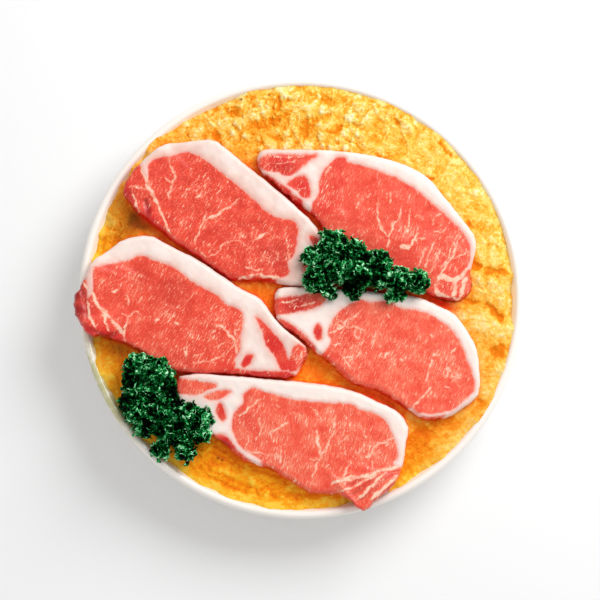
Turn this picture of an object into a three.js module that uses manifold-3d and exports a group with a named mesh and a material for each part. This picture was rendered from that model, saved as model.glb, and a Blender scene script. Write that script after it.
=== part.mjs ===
// Five raw pork loin slices marinating in yellow miso paste, in a round white dish, with two
// bunches of curly parsley. Millimetres, +Z up. The origin is the centre of the dish's
// underside; +Y is the far side of the dish as it is served and +X its right side.
import * as THREE from "three";
import { mergeVertices } from "three/addons/utils/BufferGeometryUtils.js";
import Module from "manifold-3d";

const wasm = await Module();
wasm.setup();

// Driving dimensions
const RIM_RADIUS = 140; // the dish is 28 cm across
const RIM_HEIGHT = 38;
const LIP_RADIUS = 2.6; // the rounded lip
const FOOT_RADIUS = 98; // flat underside
const FLOOR_RADIUS = 93; // flat floor inside
const FLOOR_HEIGHT = 5.5;
const ROUND_STEPS = 60; // facets round the dish and the paste

const PASTE_RINGS = 16; // closer together towards the wall
const PASTE_EDGE = 35.2; // where the paste meets the wall
const PASTE_LEVEL = 35; // its mean level
const PASTE_SWELL = 1.05; // height of its broad waves
const PASTE_SWELL_WIDTH = 21;
const PASTE_CRAGS = 1.2; // height of its crags at the far right
const PASTE_SMOOTH_CRAGS = 0.38; // and at the near left
const PASTE_CRAG_WIDTH = 8.5;
const PASTE_HEAP = 2.6; // it is heaped at the far right
const FAR_RIGHT = new THREE.Vector2(0.75, 0.66); // towards the heap
const HEAP_RISES = [-60, 110]; // over these distances towards the far right
const HEAP_RING = [70, 112]; // and over these radii
const LEVEL_RING = [118, 133]; // here the paste evens out towards the wall

const BED_LEVEL = 33.4; // what the slices have sunk to
const BED_WAVES = 0.5;
const BED_WAVE_WIDTH = 40;
const OVERHANG = [123, 134]; // over these radii the slices bend up to clear the lip
const LIP_CLEARANCE = 0.7;
const SLICE_THICKNESS = 9.6;
const SLICE_EDGE = 2; // how far in from the outline the cut edge rounds over
const SLICE_STEPS = 2; // facets for each point of a slice's outline
const SLICE_WAVES = 0.55; // the top's broad waves
const SLICE_WAVE_WIDTH = 26;
const SLICE_DENTS = 0.3; // and its small ones
const SLICE_DENT_WIDTH = 11;

const LEAFLET = 12.5; // across one crisp parsley leaflet
const LEAFLET_SPREAD = 0.12; // share of that by which leaflets differ
const LEAFLET_RUFFLE = 0.26; // rise of its ruffles, as a share of the distance from its middle
const LEAFLET_STEPS = 7;
const LEAFLET_AREA = 50; // of a lobe's radius squared, for each leaflet
const LEAF_THICKNESS = 0.9;
const LEAFLET_TILT = 0.46 * Math.PI; // how far down a lobe's side the leaflets go
const GOLDEN_TURN = 2.4; // radians from one leaflet to the next round a lobe
const CORE_SHARE = 0.85; // radius of a lobe's core of stalks, as a share of the lobe's
const LEAFLET_SHARE = 0.6; // where the leaflets' middles are, as a share of it
const LOBE_RISE = 0.4; // height of a lobe's middle over its base, as a share of its radius
const PARSLEY_INSIDE = 132.5; // beyond this radius the parsley keeps clear of the lip
const GAP = 0.3; // between pieces that touch

const GLAZE = { color: 0xf6f7f6, roughness: 0.12, metalness: 0 };
const MISO = { color: 0xf6b64a, roughness: 0.5, metalness: 0 };
const PORK = { color: 0xee6a5c, roughness: 0.35, metalness: 0 };
const PARSLEY = { color: 0x145c2c, roughness: 0.5, metalness: 0 };

// A closed three.js geometry becomes a solid.
function solidFrom(geometry) {
  const bare = geometry.clone();
  bare.deleteAttribute("normal");
  bare.deleteAttribute("uv");
  const merged = mergeVertices(bare, 1e-3);
  return new wasm.Manifold(
    new wasm.Mesh({
      numProp: 3,
      vertProperties: merged.attributes.position.array,
      triVerts: new Uint32Array(merged.index.array),
    }),
  );
}

// A solid becomes a named mesh.
function meshFrom(name, solid, finish) {
  const made = solid.getMesh();
  const geometry = new THREE.BufferGeometry();
  const places = new THREE.BufferAttribute(new Float32Array(made.vertProperties), 3);
  geometry.setAttribute("position", places);
  geometry.setIndex(new THREE.BufferAttribute(new Uint32Array(made.triVerts), 1));
  geometry.computeVertexNormals();
  const mesh = new THREE.Mesh(geometry, new THREE.MeshStandardMaterial(finish));
  mesh.name = name;
  return mesh;
}

// Moves each vertex of a geometry by a rule of its own.
function moved(geometry, rule) {
  const place = geometry.attributes.position;
  for (let i = 0; i < place.count; i++) {
    const p = new THREE.Vector3().fromBufferAttribute(place, i);
    rule(p);
    place.setXYZ(i, p.x, p.y, p.z);
  }
  return geometry;
}

// A profile of radii and heights turned round the vertical axis.
const lathed = (points, steps) => new THREE.LatheGeometry(points, steps).rotateX(Math.PI / 2);
const at = (x, y) => new THREE.Vector2(x, y);
const union = (solids) => solids.reduce((whole, next) => whole.add(next));
const smoothstep = ([from, to], x) => THREE.MathUtils.smoothstep(x, from, to);

// The largest piece alone, without loose scraps or sealed hollows.
function largest(solid) {
  return solid.decompose().reduce((a, b) => (a.volume() > b.volume() ? a : b));
}

// Smooth value noise from -1 to 1 with cells of the given width.
function noise(x, y, width, salt) {
  const i = Math.floor(x / width);
  const j = Math.floor(y / width);
  const fx = smoothstep([0, 1], x / width - i);
  const fy = smoothstep([0, 1], y / width - j);
  const corner = (a, b) => {
    const s = Math.sin(a * 127.1 + b * 311.7 + salt * 74.7) * 43758.5453;
    return 2 * (s - Math.floor(s)) - 1;
  };
  const near = THREE.MathUtils.lerp(corner(i, j), corner(i + 1, j), fx);
  const far = THREE.MathUtils.lerp(corner(i, j + 1), corner(i + 1, j + 1), fx);
  return THREE.MathUtils.lerp(near, far, fy);
}

// The dish: a shallow coupe with a flat foot, a curved wall and a rounded lip.
const lipCentre = at(RIM_RADIUS - LIP_RADIUS, RIM_HEIGHT - LIP_RADIUS);
const lip = new THREE.EllipseCurve(
  lipCentre.x, lipCentre.y, LIP_RADIUS, LIP_RADIUS, -Math.PI / 12, (11 * Math.PI) / 12,
).getPoints(4);
const innerWall = new THREE.SplineCurve([
  lip[lip.length - 1], at(129.5, 25), at(118, 13.5), at(105, 7.2), at(FLOOR_RADIUS, FLOOR_HEIGHT),
]).getPoints(4);

function dishSolid() {
  const outerWall = new THREE.SplineCurve([
    at(FOOT_RADIUS, 0), at(109, 2), at(123, 9.2), at(134.5, 22), lip[0],
  ]).getPoints(4);
  return solidFrom(
    lathed(
      [at(0, 0), ...outerWall, ...lip.slice(1), ...innerWall.slice(1), at(0, FLOOR_HEIGHT)],
      ROUND_STEPS,
    ),
  );
}

// Radius of the dish's inner wall at a height.
function wallRadius(height) {
  const k = innerWall.findIndex((p) => p.y < height);
  const above = innerWall[k - 1];
  const below = innerWall[k];
  const share = (above.y - height) / (above.y - below.y);
  return THREE.MathUtils.lerp(above.x, below.x, share);
}

// The paste's top: level at the wall, heaped at the far right, smoother at the near left.
function pasteTop(x, y) {
  const radius = Math.hypot(x, y);
  const inside = 1 - smoothstep(LEVEL_RING, radius);
  const farRight = smoothstep(HEAP_RISES, FAR_RIGHT.dot(at(x, y)));
  const heap = PASTE_HEAP * farRight * smoothstep(HEAP_RING, radius);
  const crags = THREE.MathUtils.lerp(PASTE_SMOOTH_CRAGS, PASTE_CRAGS, farRight);
  const relief =
    PASTE_SWELL * noise(x, y, PASTE_SWELL_WIDTH, 1) + crags * noise(x, y, PASTE_CRAG_WIDTH, 2);
  return PASTE_LEVEL + (heap + relief) * inside;
}

// The paste fills the dish up to its top, which is raised by a lift where something is fitted
// over it.
function pasteSolid(lift) {
  const wall = innerWall.filter((p) => p.y < PASTE_EDGE).reverse();
  const floorAndWall = wall.map((p) => at(p.x - GAP, p.y + GAP));
  const edge = at(wallRadius(PASTE_EDGE) - GAP, PASTE_EDGE);
  const top = [];
  for (let k = 1; k <= PASTE_RINGS; k++) {
    top.push(at(edge.x * (1 - (k / PASTE_RINGS) ** 1.25), PASTE_EDGE));
  }
  const profile = [at(0, FLOOR_HEIGHT + GAP), ...floorAndWall, edge, ...top];
  const body = lathed(profile, ROUND_STEPS);
  const hair = 0.01;
  return solidFrom(
    moved(body, (p) => {
      if (p.z < PASTE_EDGE - hair) return;
      if (Math.hypot(p.x, p.y) < edge.x - hair) p.z = pasteTop(p.x, p.y);
      p.z += lift;
    }),
  );
}

// The slices. Each outline runs anticlockwise round its centre as a closed smooth curve.
const SLICES = {
  slice_far_left: {
    centre: [-46, 52],
    salt: 11,
    outline: [
      [-113, 63], [-109, 57], [-101.5, 49.5], [-92, 42.5], [-80, 32.5], [-66.5, 23.8],
      [-51, 12.8], [-42, 8.6], [-24, 8.8], [-8, 5.6], [3, 5.8], [10, 11], [13, 22], [12.5, 33],
      [7.5, 43.2], [-10, 60], [-30, 77], [-49, 92.4], [-57, 97.8], [-71, 96.6], [-88.5, 93.5],
      [-100, 84], [-108.5, 74],
    ],
  },
  slice_far_right: {
    centre: [45, 45],
    salt: 12,
    outline: [
      [-28, 81], [-16, 69], [-2.5, 58], [6.5, 51], [14, 40], [23, 23], [35, 11], [52, 4.5],
      [74, 2.5], [84, -1.8], [94, -4.8], [102.5, -2], [107, 4.5], [105.2, 14], [109, 26],
      [109, 36], [103, 45], [91.5, 60], [80, 74], [69.5, 80.6], [52, 86.6], [25, 91.2],
      [-11, 91.8], [-25.5, 91], [-27.5, 89.5],
    ],
  },
  slice_left: {
    centre: [-68, -10],
    salt: 13,
    outline: [
      [-142, -11], [-138, -20], [-133, -26.5], [-118, -29.5], [-105, -34.5], [-93, -43],
      [-82, -48.8], [-70, -50], [-44, -50.6], [-27, -51.6], [-6.5, -52.8], [-1.2, -45.6],
      [3.2, -36.2], [-5.3, -28], [-13.6, -20.8], [-21, -11.5], [-27, -3.5], [-39, 2.6],
      [-52, 11.4], [-66, 20.8], [-82, 28.8], [-97, 35.8], [-113, 33], [-121, 26.5],
      [-131.5, 18], [-136, 6.5], [-141, -1],
    ],
  },
  slice_right: {
    centre: [48, -33],
    salt: 14,
    outline: [
      [-17.2, -4], [-15.2, -17.8], [-4.4, -25.4], [9, -36.8], [19.7, -45.4], [32, -56.2],
      [46, -60], [59, -67], [68, -73.6], [77, -78.8], [88, -77.8], [100.5, -71], [109, -63.5],
      [110.6, -50], [108.8, -35], [103, -23], [96, -13.8], [86, -8], [71, -2], [56, 0],
      [40, 1.3], [15, 2.8], [-4, 3.4], [-15.5, 2.6],
    ],
  },
  slice_near: {
    centre: [2, -90],
    salt: 15,
    outline: [
      [-78.6, -60], [-75.6, -69], [-66, -81], [-54, -90], [-46, -95.5], [-37, -103.5],
      [-20, -109], [-4, -118.6], [5, -124], [22, -124.6], [29.5, -128.4], [37.4, -135.6],
      [43.4, -129.8], [57, -118.6], [62, -106], [64.2, -92], [65.6, -84], [58.5, -74],
      [46, -68.2], [35, -62.8], [14, -57.6], [-20, -54.4], [-50, -52], [-77, -52.4],
    ],
  },
};

// The underside of a slice: a gently uneven bed that bends up over the lip of the dish.
function sliceUnderside(x, y) {
  const over = smoothstep(OVERHANG, Math.hypot(x, y));
  const bed = BED_LEVEL + BED_WAVES * noise(x, y, BED_WAVE_WIDTH, 3);
  return THREE.MathUtils.lerp(bed, RIM_HEIGHT + LIP_CLEARANCE, over);
}

// A slice is a lathed pad, pulled out to its outline. In its profile, radius 0 to 1 is the
// flat of the slice and 1 to 2 the rounded edge; height 0 to 1 is its thickness.
const SLICE_PROFILE = [
  at(0, 0), at(1.5, 0.02), at(2, 0.4), at(1.72, 0.82), at(1, 1), at(0.55, 1), at(0, 1),
];

// One slice, or what is cut away for it where it is grown on all sides.
function sliceSolid({ centre, outline, salt }, grow) {
  const middle = new THREE.Vector3(...centre, 0);
  const curve = new THREE.CatmullRomCurve3(
    outline.map(([x, y]) => new THREE.Vector3(x, y, 0)), true,
  );
  const pad = lathed(SLICE_PROFILE, SLICE_STEPS * outline.length);
  return solidFrom(
    moved(pad, (p) => {
      const turn = THREE.MathUtils.euclideanModulo(Math.atan2(p.y, p.x) / (2 * Math.PI), 1);
      const radius = Math.hypot(p.x, p.y);
      const way = curve.getPoint(turn).sub(middle);
      const reach = way.length() + grow;
      const flat = Math.min(radius, 1) * (reach - SLICE_EDGE);
      const round = Math.max(radius - 1, 0) * SLICE_EDGE;
      const height = p.z;
      p.copy(middle).addScaledVector(way.normalize(), flat + round);
      const waves = SLICE_WAVES * noise(p.x, p.y, SLICE_WAVE_WIDTH, salt);
      const dents = SLICE_DENTS * noise(p.x, p.y, SLICE_DENT_WIDTH, salt + 20);
      const thickness = SLICE_THICKNESS + waves + dents + 2 * grow;
      p.z = sliceUnderside(p.x, p.y) - grow + height * thickness;
    }),
  );
}

// Curly parsley: lobes of crisp leaflets, each lobe as x, y and radius.
const BUNCHES = {
  parsley_middle: {
    seed: 5,
    base: 43,
    lobes: [
      [19, 30, 11], [6, 22, 8], [9, 8, 10], [22, 16, 12], [32, 26, 9], [35, 11, 12],
      [48, 19, 9], [48, 8, 8], [60, 8, 10], [71, 7, 9], [17, 0, 6], [32, 0, 6], [56, -2, 6],
    ],
  },
  parsley_left: {
    seed: 9,
    base: 39,
    lobes: [
      [-103, -46, 9], [-91, -49, 10], [-84, -54, 7], [-103, -60, 9], [-92, -62, 9],
      [-102, -73, 11], [-88, -74, 11], [-97, -83, 9], [-84, -86, 9], [-71, -77, 10],
      [-61, -79, 8], [-64, -88, 8], [-75, -92, 9], [-88, -98, 7], [-72, -99, 8],
      [-82, -62, 6],
    ],
  },
};

// A seeded draw from 0 to 1, the same at each run.
function seeded(seed) {
  let state = seed;
  return () => {
    state = (state * 1664525 + 1013904223) % 4294967296;
    return state / 4294967296;
  };
}

// One leaflet: a thin disc whose margin is ruffled up and down.
function leafletGeometry(draw) {
  const phase = draw() * 2 * Math.PI;
  const size = (LEAFLET / 2) * (1 + LEAFLET_SPREAD * (2 * draw() - 1));
  const disc = new THREE.CylinderGeometry(size, size, LEAF_THICKNESS, LEAFLET_STEPS, 1);
  return moved(disc.rotateX(Math.PI / 2), (p) => {
    const turn = Math.atan2(p.y, p.x);
    p.z += LEAFLET_RUFFLE * Math.hypot(p.x, p.y) * Math.cos(3 * turn + phase);
  });
}

// A bunch: leaflets set round the cores of its lobes, facing outwards at uneven tilts.
function bunchSolid({ seed, base, lobes }) {
  const draw = seeded(seed);
  const upright = new THREE.Vector3(0, 0, 1);
  const cores = [];
  const leaflets = [];
  for (const [x, y, radius] of lobes) {
    const middle = new THREE.Vector3(x, y, base + LOBE_RISE * radius);
    const core = new THREE.IcosahedronGeometry(CORE_SHARE * radius, 0);
    cores.push(solidFrom(core.rotateZ(draw() * Math.PI).translate(...middle)));
    const count = Math.max(1, Math.round((radius * radius) / LEAFLET_AREA));
    for (let k = 0; k < count; k++) {
      const tilt = LEAFLET_TILT * Math.sqrt((k + 0.5) / count);
      const turn = k * GOLDEN_TURN + draw() * 0.8;
      const way = new THREE.Vector3().setFromSphericalCoords(1, tilt, turn);
      way.set(way.z, way.x, way.y);
      const side = new THREE.Vector3(-Math.sin(turn), Math.cos(turn), 0);
      const facing = way.clone().lerp(side, 0.35 + 0.3 * draw()).normalize();
      const turned = new THREE.Quaternion().setFromUnitVectors(upright, facing);
      const spot = middle.clone().addScaledVector(way, LEAFLET_SHARE * radius);
      leaflets.push(
        solidFrom(leafletGeometry(draw).applyQuaternion(turned).translate(...spot)),
      );
    }
  }
  return union([...cores, ...leaflets]);
}

// The dish is filled, the slices are pressed into the paste and the parsley laid on them.
const served = new THREE.Group();
served.name = "miso_marinated_pork";
served.add(meshFrom("dish", dishSolid(), GLAZE));

const pressed = union(Object.values(SLICES).map((slice) => sliceSolid(slice, GAP)));
served.add(meshFrom("miso_paste", largest(pasteSolid(0).subtract(pressed)), MISO));

for (const [name, slice] of Object.entries(SLICES)) {
  served.add(meshFrom(name, sliceSolid(slice, 0), PORK));
}

// The parsley stays clear of the lip: nothing of it is low down beyond the lip's inner edge.
const lipTop = RIM_HEIGHT + LIP_CLEARANCE - 0.2;
const lipFoot = RIM_HEIGHT - 3 * LIP_RADIUS;
const lipOutside = RIM_RADIUS + 10;
const lipRing = [
  at(PARSLEY_INSIDE, lipFoot), at(lipOutside, lipFoot), at(lipOutside, lipTop),
  at(PARSLEY_INSIDE, lipTop), at(PARSLEY_INSIDE, lipFoot),
];
const laidOn = union([pressed, pasteSolid(GAP), solidFrom(lathed(lipRing, ROUND_STEPS))]);
for (const [name, bunch] of Object.entries(BUNCHES)) {
  served.add(meshFrom(name, largest(bunchSolid(bunch).subtract(laidOn)), PARSLEY));
}

export default served;
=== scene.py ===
import bmesh
import bpy
import math
import numpy as np
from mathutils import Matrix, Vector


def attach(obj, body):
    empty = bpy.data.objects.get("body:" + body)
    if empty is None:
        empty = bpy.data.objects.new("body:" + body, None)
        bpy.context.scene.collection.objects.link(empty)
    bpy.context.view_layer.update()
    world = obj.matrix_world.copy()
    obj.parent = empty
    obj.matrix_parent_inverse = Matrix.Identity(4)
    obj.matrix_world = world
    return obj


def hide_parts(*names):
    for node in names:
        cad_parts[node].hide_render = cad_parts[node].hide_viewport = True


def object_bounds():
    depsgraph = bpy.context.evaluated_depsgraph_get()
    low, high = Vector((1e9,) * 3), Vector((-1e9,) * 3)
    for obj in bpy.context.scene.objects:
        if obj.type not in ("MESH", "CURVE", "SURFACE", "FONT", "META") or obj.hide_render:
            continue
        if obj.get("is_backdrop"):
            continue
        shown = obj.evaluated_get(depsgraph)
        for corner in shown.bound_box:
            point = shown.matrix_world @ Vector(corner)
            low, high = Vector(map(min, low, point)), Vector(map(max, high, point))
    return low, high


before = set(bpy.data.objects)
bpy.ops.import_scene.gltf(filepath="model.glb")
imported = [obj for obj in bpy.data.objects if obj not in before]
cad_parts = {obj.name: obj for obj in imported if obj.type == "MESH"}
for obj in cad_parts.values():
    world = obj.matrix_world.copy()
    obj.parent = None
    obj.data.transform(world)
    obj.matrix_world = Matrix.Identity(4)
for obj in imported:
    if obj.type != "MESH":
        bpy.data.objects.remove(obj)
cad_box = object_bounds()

MM = 0.001  # a millimetre in the scene's metres
RIM_RADIUS = 140
RIM_HEIGHT = 38
LIP_RADIUS = 2.6
LIP_SPAN = (-15, 165)  # degrees that the lip's rounding runs through, outside to inside
LIP_STEPS = 19
LIP_INSIDE = 8  # how many of its steps the paste can reach
OUTER_WALL = [(109, 2), (123, 9.2), (134.5, 22)]  # radius and height along the curve
INNER_WALL = [(129.5, 25), (118, 13.5), (105, 7.2)]
FLOOR = (93, 5.5)  # radius and height of the flat floor inside
FOOT_RADIUS = 98
FOOT_RECESS = (88, 1.0)  # radius and depth of the hollow inside the foot ring
RECESS_SLOPE = 2  # width of the hollow's sloping side
DISH_TURNS = 160
MERGE = 1e-6  # metres within which two vertices are one
GLAZE_WHITE = "#F9F2EA"
BARE_CLAY = "#E6E0D4"
GLAZE_START = (0.1, 0.7)  # the glaze starts between these heights
GLAZE_RIPPLE = 22  # width of the glaze's slow waves
FILM_AND_SHADE = "#C6C190"
FILM_AND_SHADE_PLACE = (206, 15)  # direction and half width in degrees of an olive-grey tint on the lip: partly a film of paste, partly painted shade and bounce light
FILM_AND_SHADE_STREAKS = 6  # their width


def smooth_line(points, steps=6, closed=False):
    """A smooth curve through points, as rows of coordinates, with steps rows for each span."""
    given = np.array(points, float)
    count = len(given)
    pick = (lambda k: given[k % count]) if closed else (lambda k: given[min(max(k, 0), count - 1)])
    t = np.arange(steps)[:, None] / steps
    rows = []
    for k in range(count if closed else count - 1):
        a, b, c, d = pick(k - 1), pick(k), pick(k + 1), pick(k + 2)
        bend = (2 * a - 5 * b + 4 * c - d) * t**2 + (3 * b - a - 3 * c + d) * t**3
        rows.append(0.5 * (2 * b + (c - a) * t + bend))
    if not closed:
        rows.append(given[-1:])
    return np.vstack(rows)


def linear(colour):
    """An sRGB hex colour as the linear RGBA of a shader socket."""
    parts = [int(colour[k : k + 2], 16) / 255 for k in (1, 3, 5)]
    return [p / 12.92 if p < 0.0405 else ((p + 0.055) / 1.055) ** 2.4 for p in parts] + [1]


def fill(node, inputs):
    """Sets or links a node's inputs, given by name or listed in the order that it shows them."""
    if isinstance(inputs, dict):
        pairs = [(node.inputs[name], value) for name, value in inputs.items()]
    else:
        pairs = zip([socket for socket in node.inputs if socket.enabled], inputs)
    for socket, value in pairs:
        if isinstance(value, bpy.types.NodeSocket):
            node.id_data.links.new(value, socket)
        else:
            socket.default_value = value


def add(tree, kind, inputs, operation=None, out=None, **settings):
    """Adds a shader node with its settings and inputs, and gives the output named or its first."""
    made = tree.nodes.new("ShaderNode" + kind)
    if operation:
        made.operation = operation
    for name, value in settings.items():
        if name == "stops":
            while len(made.color_ramp.elements) < len(value):
                made.color_ramp.elements.new(0.5)
            for stop, (place, colour) in zip(made.color_ramp.elements, value):
                stop.position = place
                stop.color = linear(colour)
        else:
            setattr(made, name, value)
    fill(made, inputs)
    return made.outputs[out] if out else next(o for o in made.outputs if o.enabled)


def material(name, **sockets):
    """A new material with plain values on its shader's sockets, and its node tree and shader."""
    made = bpy.data.materials.new(name)
    made.use_nodes = True
    shader = made.node_tree.nodes["Principled BSDF"]
    fill(shader, {socket.replace("_", " "): value for socket, value in sockets.items()})
    return made, made.node_tree, shader


def placed(name, data):
    """A new object in the scene, from its mesh, lamp or camera."""
    made = bpy.data.objects.new(name, data)
    bpy.context.collection.objects.link(made)
    return made


def piece(name, mesh, finish, node):
    """Shows a mesh as a piece of the dish, in place of a CAD node."""
    mesh.shade_smooth()
    mesh.materials.append(finish)
    made = placed(name, mesh)
    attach(made, "root")
    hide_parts(node)


def mesh_of(name, bm):
    """A finished bmesh as a mesh."""
    made = bpy.data.meshes.new(name)
    bm.to_mesh(made)
    bm.free()
    return made


def ramp(low, high, x):
    """0 below low, 1 above high and a smooth rise between."""
    t = min(max((x - low) / (high - low), 0), 1)
    return t * t * (3 - 2 * t)


def turned_off(x, y, way, half_width):
    """How far round a place lies from a direction in degrees, in half widths."""
    off = math.degrees(math.atan2(y, x)) - way
    return ((off + 180) % 360 - 180) / half_width


lip_turn = np.radians(np.linspace(*LIP_SPAN, LIP_STEPS))
lip_middle = np.array([RIM_RADIUS - LIP_RADIUS, RIM_HEIGHT - LIP_RADIUS])
lip = lip_middle + LIP_RADIUS * np.c_[np.cos(lip_turn), np.sin(lip_turn)]
outer_wall = smooth_line([(FOOT_RADIUS, 0), *OUTER_WALL, lip[0]], 8)
inner_wall = smooth_line([lip[-1], *INNER_WALL, FLOOR], 8)
recess_radius, recess_depth = FOOT_RECESS
foot = [(0, recess_depth), (recess_radius - RECESS_SLOPE, recess_depth), (recess_radius, 0)]
profile = np.vstack([foot, outer_wall[:-1], lip, inner_wall[1:], [(0, FLOOR[1])]])

bm = bmesh.new()
turned = [bm.verts.new((radius * MM, 0, height * MM)) for radius, height in profile]
turned += [bm.edges.new(pair) for pair in zip(turned, turned[1:])]
bmesh.ops.spin(
    bm, geom=turned, cent=(0, 0, 0), axis=(0, 0, 1), angle=2 * math.pi,
    steps=DISH_TURNS, use_merge=True,
)
bmesh.ops.remove_doubles(bm, verts=bm.verts, dist=MERGE)
bmesh.ops.recalc_face_normals(bm, faces=bm.faces)
bm.normal_update()
# A tint on the upward-facing lip at the near left: partly a film of paste, partly painted shade and
# bounce light.
film = bm.verts.layers.float.new("film")
for v in bm.verts:
    off = turned_off(v.co.x, v.co.y, *FILM_AND_SHADE_PLACE)
    v[film] = ramp(0, 0.5, v.normal.z) * math.exp(-(off**4))

# Glazed porcelain: warm white and mirror-smooth, with soft waves where the glaze ran, and dry
# clay under the foot, where the glaze was wiped off. A streaky olive-grey tint on the lip at the
# near left is partly a film of paste and partly painted shade and bounce light from the paste.
porcelain, tree, shader = material(
    "white_glazed_porcelain", IOR=1.5, Coat_Weight=0.3, Coat_Roughness=0.05
)
spot = add(tree, "TexCoord", {}, out="Object")
height = add(tree, "SeparateXYZ", [spot], out="Z")
glazed = add(tree, "MapRange", [height, GLAZE_START[0] * MM, GLAZE_START[1] * MM])
clay_or_glaze = [glazed, linear(BARE_CLAY), linear(GLAZE_WHITE)]
colour = add(tree, "Mix", clay_or_glaze, data_type="RGBA")
smeared_and_shaded = add(tree, "Attribute", {}, out="Fac", attribute_name="film")
streaky = add(tree, "TexNoise", {"Vector": spot, "Scale": 1 / (FILM_AND_SHADE_STREAKS * MM), "Detail": 3})
streaky = add(tree, "MapRange", [streaky, 0.2, 0.55])
smeared_and_shaded = add(tree, "Math", [smeared_and_shaded, streaky], "MULTIPLY")
colour = add(tree, "Mix", [smeared_and_shaded, colour, linear(FILM_AND_SHADE)], data_type="RGBA")
gloss = add(tree, "Mix", [glazed, 0.7, 0.16])
ripple = add(tree, "TexNoise", {"Vector": spot, "Scale": 1 / (GLAZE_RIPPLE * MM)})
ripple = add(tree, "Bump", {"Height": ripple, "Strength": 0.06, "Distance": 1 * MM})
fill(shader, {"Base Color": colour, "Roughness": gloss, "Normal": ripple})
piece("porcelain_dish", mesh_of("porcelain_dish", bm), porcelain, "dish")

# The miso: a coarse paste of mashed soybeans, spooned in and spread up to the lip, craggy at
# the far right and smoother at the near left. It is dented where the slices lie on it.
from mathutils import Vector, noise
from mathutils.bvhtree import BVHTree

NOISE_SEED = 7  # without it the noise vectors below would differ from run to run
noise.seed_set(NOISE_SEED)
PASTE_EDGE = 36.6  # height at which the paste meets the wall at the far right
EDGE_DROP = 3  # how much lower it meets the wall at the near left
EDGE_WAVES = [(6, 1.6), (16.2, 1.6), (48, 0.5)]  # waves of its edge: how close, how high
PASTE_BRIM = 37.7  # it comes no higher on the lip than this
PASTE_LEVEL = 35.0  # its mean level
PASTE_HEAP = 2.4  # it is heaped at the far right
PASTE_GRID = 1.7  # width of a cell under the slices, cut into PASTE_CUTS + 1 in the open
PASTE_CUTS = 2
PASTE_SKIRT = (35.4, 25, 13.5, 7.4)  # heights of its hidden side, down the wall
WALL_GAP = 0.03  # between the paste and the wall
BED_GAP = 0.15  # between the paste and a slice's underside
GAP_SIGHT = 16  # how far off a slice still closes a gap in
COMPASS = [Vector((math.cos(k * math.pi / 6), math.sin(k * math.pi / 6), 0)) for k in range(12)]
FAR_WAY = (0.6, 0.78)  # the direction of the far right
SLICES = ("slice_far_left", "slice_far_right", "slice_left", "slice_right", "slice_near")
# The paste's lumps, crumbs and grit: width, how high they stand, how much lighter their tops are
# painted (painted light on the tops, painted shade in the creases between them)
LUMP, LUMP_HEIGHT, LUMP_LIGHT = 9, 1.4, 0.37
CRUMB, CRUMB_HEIGHT, CRUMB_LIGHT = 4.2, 0.75, 0.34
GRIT, GRIT_HEIGHT, GRIT_LIGHT = 2.2, 0.5, 0.2
SPECK = 1.3
# Widths of its slow waves, of its lighter patches and of the spoon's scallops round the wall
SWELL, PATCH, SCALLOP = 22, 14, 17
RAGGED = 2.6  # how far the edges of the spoon's strokes wander
# Smears up the wall: direction, half width in degrees, rise
SMEARS = [
    (134, 3, 2.4), (142, 2, 2.2), (118, 15, -2.4), (8, 12, -2), (0, 6, -3), (201, 5, 4),
    (254, 14, 3.5), (-33, 7, 4),
]
# Strokes of the spoon: x, y, half length, half width, turn in degrees, lift, how much lighter
# (the darker hollows are painted shade)
STROKES = [
    (-88.9, 104.5, 9, 3, 35, -0.6, -0.25), (-42.5, 116.7, 5, 4, 0, -0.9, -0.3),
    (-53.2, 100.3, 7, 3, -50, -0.9, -0.3), (-15.6, 122.9, 6, 1.8, 90, -1.2, -0.4),
    (-17.5, 111.7, 4, 2.4, 0, -1.1, -0.45), (-25.8, 109.7, 7, 4, 0, -0.4, -0.25),
    (-14.9, 100.6, 3, 2.2, 0, -0.9, -0.4), (15.8, 124.5, 6, 3, -30, -0.9, -0.35),
    (23.5, 107.5, 4, 2.4, 0, -0.8, -0.35), (17.7, 104.2, 5, 2.2, -20, -0.7, -0.3),
    (60.1, 112.4, 5, 2.2, -50, -0.9, -0.3), (-7.9, 130.9, 13, 3.4, 0, 0.5, 0.15),
    (93.4, 91.7, 8, 1.8, -48, -1.2, -0.35), (81.6, 74, 3, 2.4, 0, -1.2, -0.4),
    (106.2, 45.6, 4, 1.8, -60, -1.0, -0.35), (109, 18.6, 3.6, 3.2, 0, -1.7, -0.6),
    (125.5, 14.8, 9, 3, -10, -1.5, -0.55), (122.5, -10.8, 10, 2.4, -40, -1.8, -0.5),
    (106.1, -3.8, 5, 2.4, 0, -1.5, -0.45), (113.4, -19.1, 11, 6, -25, 1.4, 0.2),
    (124.5, -36.1, 7, 4, 15, -1.5, -0.5), (125.3, 3.3, 8, 5, 0, 0.8, 0.15),
    (111.3, -68.3, 4, 3, 0, -0.8, -0.3), (74.7, -86.4, 5, 3, 0, -0.8, -0.4),
    (70, -93, 13, 7, 35, 0, -0.2), (89.2, -80.2, 9, 4, 0, -0.3, -0.25),
    (-44.9, -100.8, 16, 5, -25, 0, -0.2), (-41.7, -113.1, 13, 3, -20, 0.3, 0.15),
    (-3.4, -129.6, 5, 2.4, 0, -0.3, -0.3), (-25, -114.9, 16, 3, -25, 0.3, 0.12),
]
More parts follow.
